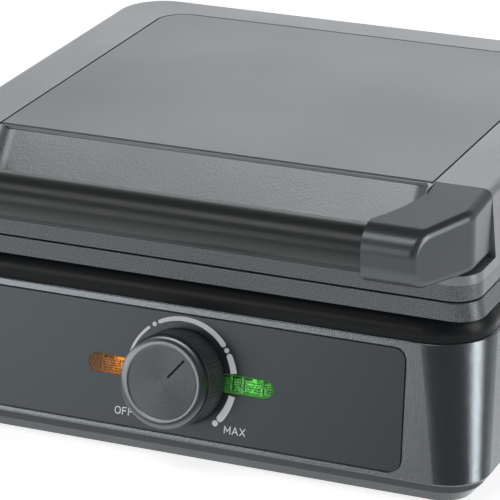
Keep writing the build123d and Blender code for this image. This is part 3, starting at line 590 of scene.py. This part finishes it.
def make_lettering(text, x, up, height):
    """Plain sans-serif dial lettering, centred at a point of the panel."""
    total = sum(LETTER_WIDTHS[c] for c in text) + LETTER_GAP * (len(text) - 1)
    left, low = x - total / 2, up - height / 2
    bm = bmesh.new()
    for letter in text:
        width = LETTER_WIDTHS[letter]
        if letter == "O":
            add_loop(bm, left, low, width, height)
        for start, end in LETTERS.get(letter, ()):
            a, b = ((left + px * width, low + py * height) for px, py in (start, end))
            prism(bm, stroke_outline(a, b), 0, PRINT_HEIGHT)
        left += width + LETTER_GAP
    name = f"dial_label_{text.lower()}"
    piece(name, mesh_from(bm, name), "base", WHITE)


# The lenses lie left and right of the dial: millimetres from its centre.
LENS_IN, LENS_OUT = 17.5, 46.5
LENS_HALF = 4.25
LENS_UP = 0.5
END_STEPS = 12

# Each layer is an inset from the lens's outline and a height.
CAP_LAYERS = ((0.0, -0.2), (0.0, 0.35), (0.25, 0.6), (0.7, 0.7))
EDGE_LAYERS = ((0.12, -2.6), (0.12, -0.35), (0.5, -0.35), (0.9, -2.6))

# What stands in the well, measured outwards from the lens's inner end.
WELL_UNDERSIDE, WELL_FLOOR = -3.0, -2.7
FIELDS = ((3.0, 6.4), (8.6, 12.2), (14.2, 21.8), (23.7, 27.3))
PYRAMID_PITCH = 1.15
PYRAMID_HALF = 0.34 * PYRAMID_PITCH
PYRAMID_TAPER = 0.5
PYRAMID_HEIGHT = 1.3
PYRAMID_ROWS = 5
MIDDLE_ROW = 2.3
BARS = (7.4, 13.1, 22.7)
BAR_HALF, BAR_REACH, BAR_TOP = 0.3, 3.7, -1.5
FACET_LOW, FACET_HIGH, FACET_TOP = 2.6, 3.6, -0.9


def add_pyramid(bm, x, up):
    half = PYRAMID_HALF
    small = half * PYRAMID_TAPER
    foot = rectangle(x - half, x + half, up - half, up + half)
    top = rectangle(x - small, x + small, up - small, up + small)
    rings = [ring_of(bm, foot, WELL_FLOOR), ring_of(bm, top, WELL_FLOOR + PYRAMID_HEIGHT)]
    bm.faces.new(rings[-1])
    skin(bm, rings)


def make_prisms(side, name, material, flare):
    """Fields of blunt pyramids, cross bars and one long facet under the lens face."""
    bm = bmesh.new()
    for low, high in FIELDS:
        for column in range(round((high - low) / PYRAMID_PITCH)):
            x = side * (LENS_IN + low + PYRAMID_PITCH * (column + 0.5))
            for row in range(PYRAMID_ROWS):
                add_pyramid(bm, x, LENS_UP + (row - MIDDLE_ROW) * PYRAMID_PITCH)
    for bar in BARS:
        x = side * (LENS_IN + bar)
        across = rectangle(x - BAR_HALF, x + BAR_HALF, LENS_UP - BAR_REACH, LENS_UP + BAR_REACH)
        prism(bm, across, WELL_FLOOR, BAR_TOP)
    start, end = sorted(side * (LENS_IN + along) for along in flare)
    facet = rectangle(start, end, LENS_UP + FACET_LOW, LENS_UP + FACET_HIGH)
    prism(bm, facet, WELL_FLOOR, FACET_TOP)
    piece(name, mesh_from(bm, name), "base", material)


def stadium(side, inset=0.0):
    """A lens's outline in millimetres, round at both ends."""
    half = LENS_HALF - inset
    ends = sorted((side * (LENS_IN + inset), side * (LENS_OUT - inset)))
    centres = (ends[1] - half, ends[0] + half)
    points = []
    for centre, first in zip(centres, (-pi / 2, pi / 2)):
        for i in range(END_STEPS + 1):
            angle = first + pi * i / END_STEPS
            points.append((centre + half * cos(angle), LENS_UP + half * sin(angle)))
    return points


def stacked(bm, side, layers):
    """Walls through the layers; returns the rings of vertices."""
    rings = [ring_of(bm, stadium(side, inset), height) for inset, height in layers]
    skin(bm, rings)
    return rings


def make_lens_edge(side, name, material):
    """The lens's bright moulded edge, just inside its outline."""
    bm = bmesh.new()
    stacked(bm, side, EDGE_LAYERS)
    piece(name, mesh_from(bm, name), "base", material)


def make_lens_face(side, name, material, node):
    """The lens as a thin clear cap with a rounded edge."""
    bm = bmesh.new()
    rings = stacked(bm, side, CAP_LAYERS)
    bm.faces.new(rings[-1])
    bm.faces.new(rings[0][::-1])
    face = piece(name, mesh_from(bm, name), "base", material)
    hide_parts(node)


def make_lens_well(side, name, material):
    """The dark tinted tray that the prisms stand in."""
    bm = bmesh.new()
    prism(bm, stadium(side), WELL_UNDERSIDE, WELL_FLOOR)
    piece(name, mesh_from(bm, name), "base", material)


WHITE = print_white()
EDGE_REACH = 8.0

# Tint, side, unlit and lit colours, the lamp's place, its reach, and the long facet's ends.
TINTS = (
    ("amber", -1, (0.030, 0.012, 0.007), (1.0, 0.56, 0.05), -26.0, 15.0, (8.5, 16.5)),
    ("green", 1, (0.010, 0.042, 0.012), (0.30, 0.85, 0.22), 36.0, 15.0, (17.6, 22.0)),
)


def scaled(colour, share):
    return tuple(channel * share for channel in colour)


def make_lenses():
    for tint, side, dark, hot, lamp, reach, flare in TINTS:
        lit = glow(f"{tint}_lit", dark, hot, lamp, reach, 1.5, 0.15)
        dim = glow(f"{tint}_dim", scaled(dark, 0.3), scaled(hot, 0.05), lamp, reach, 0.1, 1.0)
        glint = scaled(hot, 0.45)
        edge = glow(f"{tint}_edge", dark, glint, lamp, reach + EDGE_REACH, 0.4, 1.0)
        slot = f"{tint}_clear"
        make_prisms(side, f"{tint}_prisms", lit, flare)
        make_lens_edge(side, f"{tint}_lens_edge", edge)
        make_lens_well(side, f"{tint}_well", dim)
        make_lens_face(side, f"{tint}_lens_face", MATERIALS[slot], f"{tint}_lens")


# ================================================================ stage

ROOM_LEVEL = 0.10
ROOM_BEHIND = 1.7
ROOM_TINT = (0.97, 0.99, 1.0, 1.0)
FLOOR_REACH = 8.0
FLOOR_COLOUR = (0.82, 0.82, 0.82)
FLOOR_GLOW = 0.75
LIT_POINT = Vector((0, 0, 0.08))
SENSOR_WIDTH = 36.0
FARTHEST = 50.0
CAMERA_AZIMUTH = radians(23.47)
CAMERA_ELEVATION = radians(21.36)
CAMERA_ROLL = radians(-0.45)
CAMERA_DISTANCE = 1.490
CAMERA_LENS = 233.06
AIM_RIGHT = 0.03265
AIM_UP = 0.05804

# Name, azimuth and elevation in degrees, distance, size and radiance.
SOFTBOXES = (
    ("front_left", -46, 6, 2.2, (2.4, 0.9), 2.3),
    ("front_high", -20, 54, 2.2, (1.6, 0.7), 2.7),
    ("right_strip", 88, 10, 1.9, (0.65, 1.5), 5.0),
)


def directions(azimuth, elevation):
    """Unit vectors back from the object towards a viewer, to their right and up."""
    level = cos(elevation)
    back = Vector((sin(azimuth) * level, -cos(azimuth) * level, sin(elevation)))
    right = Vector((0, 0, 1)).cross(back).normalized()
    return back, right, back.cross(right)


def make_camera():
    back, right, up = directions(CAMERA_AZIMUTH, CAMERA_ELEVATION)
    data = bpy.data.cameras.new("camera")
    data.lens = CAMERA_LENS
    data.sensor_width = SENSOR_WIDTH
    data.clip_end = FARTHEST
    camera = bpy.data.objects.new("camera", data)
    bpy.context.scene.collection.objects.link(camera)
    aim = DIAL_CENTRE + right * AIM_RIGHT + up * AIM_UP
    camera.location = aim + back * CAMERA_DISTANCE
    camera.rotation_mode = "QUATERNION"
    level = (-back).to_track_quat("-Z", "Y")
    camera.rotation_quaternion = level @ Quaternion((0, 0, 1), CAMERA_ROLL)
    bpy.context.scene.camera = camera


def softbox(name, azimuth, elevation, distance, size, radiance):
    """A rectangular light that faces the object. Azimuth 0 is in front of it."""
    back, _, _ = directions(radians(azimuth), radians(elevation))
    data = bpy.data.lights.new(name, "AREA")
    data.shape = "RECTANGLE"
    data.size, data.size_y = size
    data.energy = radiance * pi * size[0] * size[1]
    lamp = bpy.data.objects.new(name, data)
    bpy.context.scene.collection.objects.link(lamp)
    lamp.location = LIT_POINT + back * distance
    lamp.rotation_mode = "QUATERNION"
    lamp.rotation_quaternion = (-back).to_track_quat("-Z", "Y")


def make_world():
    """A dim room, pale behind the object and below its horizon."""
    world = bpy.data.worlds.new("studio")
    bpy.context.scene.world = world
    world.use_nodes = True
    tree = world.node_tree

    def node(kind, **settings):
        made = tree.nodes.new(kind)
        for key, value in settings.items():
            setattr(made, key, value)
        return made

    def ramp(source, low, high, to_low, to_high):
        made = node("ShaderNodeMapRange", interpolation_type="SMOOTHSTEP")
        ends = {"From Min": low, "From Max": high, "To Min": to_low, "To Max": to_high}
        for key, value in ends.items():
            made.inputs[key].default_value = value
        tree.links.new(source, made.inputs["Value"])
        return made.outputs["Result"]

    def combine(operation, a, b):
        made = node("ShaderNodeMath", operation=operation)
        for index, value in enumerate((a, b)):
            if isinstance(value, bpy.types.NodeSocket):
                tree.links.new(value, made.inputs[index])
            else:
                made.inputs[index].default_value = value
        return made.outputs[0]

    split = node("ShaderNodeSeparateXYZ")
    tree.links.new(node("ShaderNodeTexCoord").outputs["Generated"], split.inputs[0])
    side, depth, height = split.outputs
    far = ramp(depth, 0.30, 0.80, 0.0, 1.0)
    low = ramp(height, 0.25, 0.75, 1.0, 0.0)
    less_on_the_left = ramp(side, -0.60, -0.10, 0.65, 1.30)
    least_on_the_right = ramp(side, 0.05, 0.35, 1.0, 0.16)
    behind = combine("MULTIPLY", far, low)
    behind = combine("MULTIPLY", behind, less_on_the_left)
    behind = combine("MULTIPLY", behind, least_on_the_right)
    under = ramp(height, -0.52, -0.16, 0.85, 0.0)
    wall = combine("ADD", combine("MULTIPLY", behind, ROOM_BEHIND), under)
    background = tree.nodes["Background"]
    tree.links.new(combine("ADD", wall, ROOM_LEVEL), background.inputs["Strength"])
    background.inputs["Color"].default_value = ROOM_TINT


def make_floor():
    bm = bmesh.new()
    corners = rectangle(-FLOOR_REACH, FLOOR_REACH, -FLOOR_REACH, FLOOR_REACH)
    bm.faces.new([bm.verts.new((x, y, 0)) for x, y in corners])
    mesh = bpy.data.meshes.new("floor")
    bm.to_mesh(mesh)
    bm.free()
    shade = Shade("floor_pale", FLOOR_COLOUR, 0.7, specular=0.2)
    shade.set("Emission Color", (1, 1, 1, 1))
    shade.set("Emission Strength", FLOOR_GLOW)
    mesh.materials.append(shade.mat)
    floor = bpy.data.objects.new("floor", mesh)
    bpy.context.scene.collection.objects.link(floor)
    floor.visible_glossy = False


dress_cad()
make_scale()
make_lettering("OFF", -26.9, -20.4, 3.2)
make_lettering("MAX", 29.3, -21.0, 3.2)
make_lenses()
make_floor()
make_world()
for row in SOFTBOXES:
    softbox(*row)
make_camera()
bpy.context.scene.view_settings.view_transform = "Standard"
